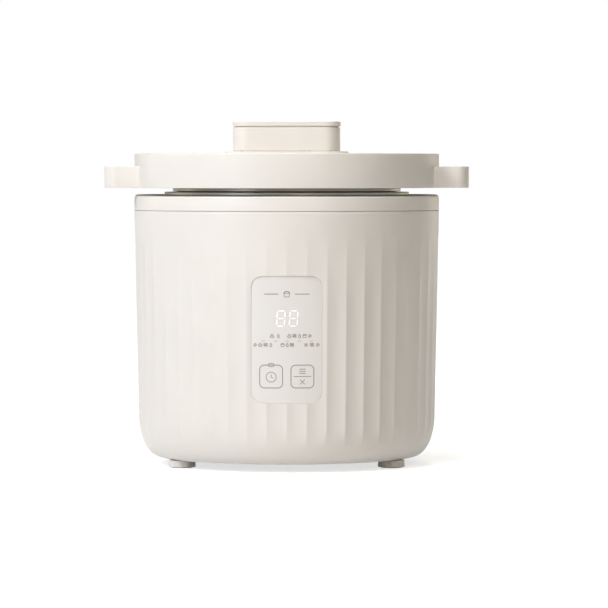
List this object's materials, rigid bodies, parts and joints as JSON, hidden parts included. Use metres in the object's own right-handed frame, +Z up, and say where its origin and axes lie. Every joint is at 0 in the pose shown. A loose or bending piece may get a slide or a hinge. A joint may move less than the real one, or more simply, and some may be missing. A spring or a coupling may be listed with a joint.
{
  "type": "electric pressure cooker",
  "caption": "Small upright electric pressure cooker: fluted tapered body on short feet, touch panel, lift-out pot, twist-on lid with two side handles and a press-to-vent knob.",
  "frame": {"origin": "on the supporting surface, on the cooker's vertical axis, at the centre of the bounding box's bottom", "axes": "+Z up, the touch panel faces -Y, the lid's two handles lie along +X and -X"},
  "size_m": [0.2492, 0.21, 0.2355],
  "materials": {
    "ivory": "smooth satin ivory plastic",
    "panel": "glossy translucent ivory touch panel",
    "steel": "bright pressed steel",
    "aluminium": "plain cast aluminium",
    "coating": "dark grey non-stick coating over aluminium",
    "silicone": "translucent white silicone",
    "rubber": "dark rubber",
    "black": "black moulded plastic",
    "grey": "grey component cases",
    "board": "green printed board",
    "copper": "copper-coloured spring wire",
    "brass": "bare brass contacts",
    "zinc": "zinc-plated steel"
  },
  "bodies": {
    "base": {"outer_shell": "ivory", "top_collar": "ivory", "bottom_cover": "ivory", "foot_front_left": "ivory", "foot_front_right": "ivory", "foot_rear": "ivory", "control_panel": "panel", "deck_plate": "steel", "locking_ring": "steel", "outer_pot": "steel", "sensor_spring": "steel", "heating_plate": "aluminium", "heat_shield": "aluminium", "foot_pad_front_left": "rubber", "foot_pad_front_right": "rubber", "foot_pad_rear": "rubber", "display_lead": "rubber", "power_inlet": "black", "pressure_switch": "black", "transformer": "black", "display_module": "black", "board_tray": "black", "relay": "grey", "filter_capacitor": "grey", "power_board": "board", "control_board": "board", "touch_spring_left": "copper", "touch_spring_right": "copper", "inlet_pin_left": "brass", "inlet_pin_right": "brass", "inlet_pin_earth": "brass", "heating_element": "zinc", "sensor_bracket": "zinc", "thermal_fuse": "zinc", "base_screw_1": "zinc", "base_screw_2": "zinc", "base_screw_3": "zinc"},
    "sensor": {"temperature_sensor": "aluminium"},
    "pot": {"inner_pot": "coating"},
    "seal": {"sealing_ring": "silicone"},
    "lid": {"lid_cover": "ivory", "lid_liner": "ivory", "steel_lid": "steel", "vent_nozzle": "steel", "vent_filter": "steel", "knob_plinth": "ivory", "knob_body": "ivory", "lever_pin": "steel", "lid_screw_1": "zinc", "lid_screw_2": "zinc", "lid_screw_3": "zinc", "knob_screw_left": "zinc", "knob_screw_right": "zinc", "cap_spring_left": "steel", "cap_spring_right": "steel"},
    "cap": {"vent_cap": "ivory"},
    "lever": {"vent_lever": "zinc"},
    "weight": {"pressure_weight": "steel"},
    "float": {"float_valve": "steel", "float_seal": "silicone"}
  },
  "joints": [
    {"name": "sensor_press", "type": "slide", "parent": "base", "child": "sensor", "axis": [0, 0, -1], "range_m": [0, 0.0015], "stiffness_N_per_m": 400, "springref_m": -0.004, "deforming": ["sensor_spring"]},
    {"name": "pot_lift", "type": "slide", "parent": "base", "child": "pot", "axis": [0, 0, 1], "range_m": [0, 0.15]},
    {"name": "lid_lift", "type": "slide", "parent": "pot", "child": "seal", "axis": [0, 0, 1], "range_m": [0, 0.12]},
    {"name": "lid_twist", "type": "hinge", "parent": "seal", "child": "lid", "pos_m": [0, 0, 0.19], "axis": [0, 0, -1], "range_deg": [0, 30]},
    {"name": "cap_press", "type": "slide", "parent": "lid", "child": "cap", "axis": [0, 0, -1], "range_m": [0, 0.0008], "stiffness_N_per_m": 1500, "springref_m": -0.002, "deforming": ["cap_spring_left", "cap_spring_right"]},
    {"name": "lever_swing", "type": "hinge", "parent": "lid", "child": "lever", "pos_m": [0, 0, 0.2205], "axis": [0, -1, 0], "range_deg": [0, 5.8]},
    {"name": "weight_lift", "type": "slide", "parent": "lid", "child": "weight", "axis": [0, 0, 1], "range_m": [0, 0.00131]},
    {"name": "float_rise", "type": "slide", "parent": "lid", "child": "float", "axis": [0, 0, 1], "range_m": [0, 0.004]}
  ],
  "couplings": [
    {"joint": "lever_swing", "follows": "cap_press", "rad_per_m": 125},
    {"joint": "weight_lift", "follows": "cap_press", "ratio": 1.625}
  ]
}
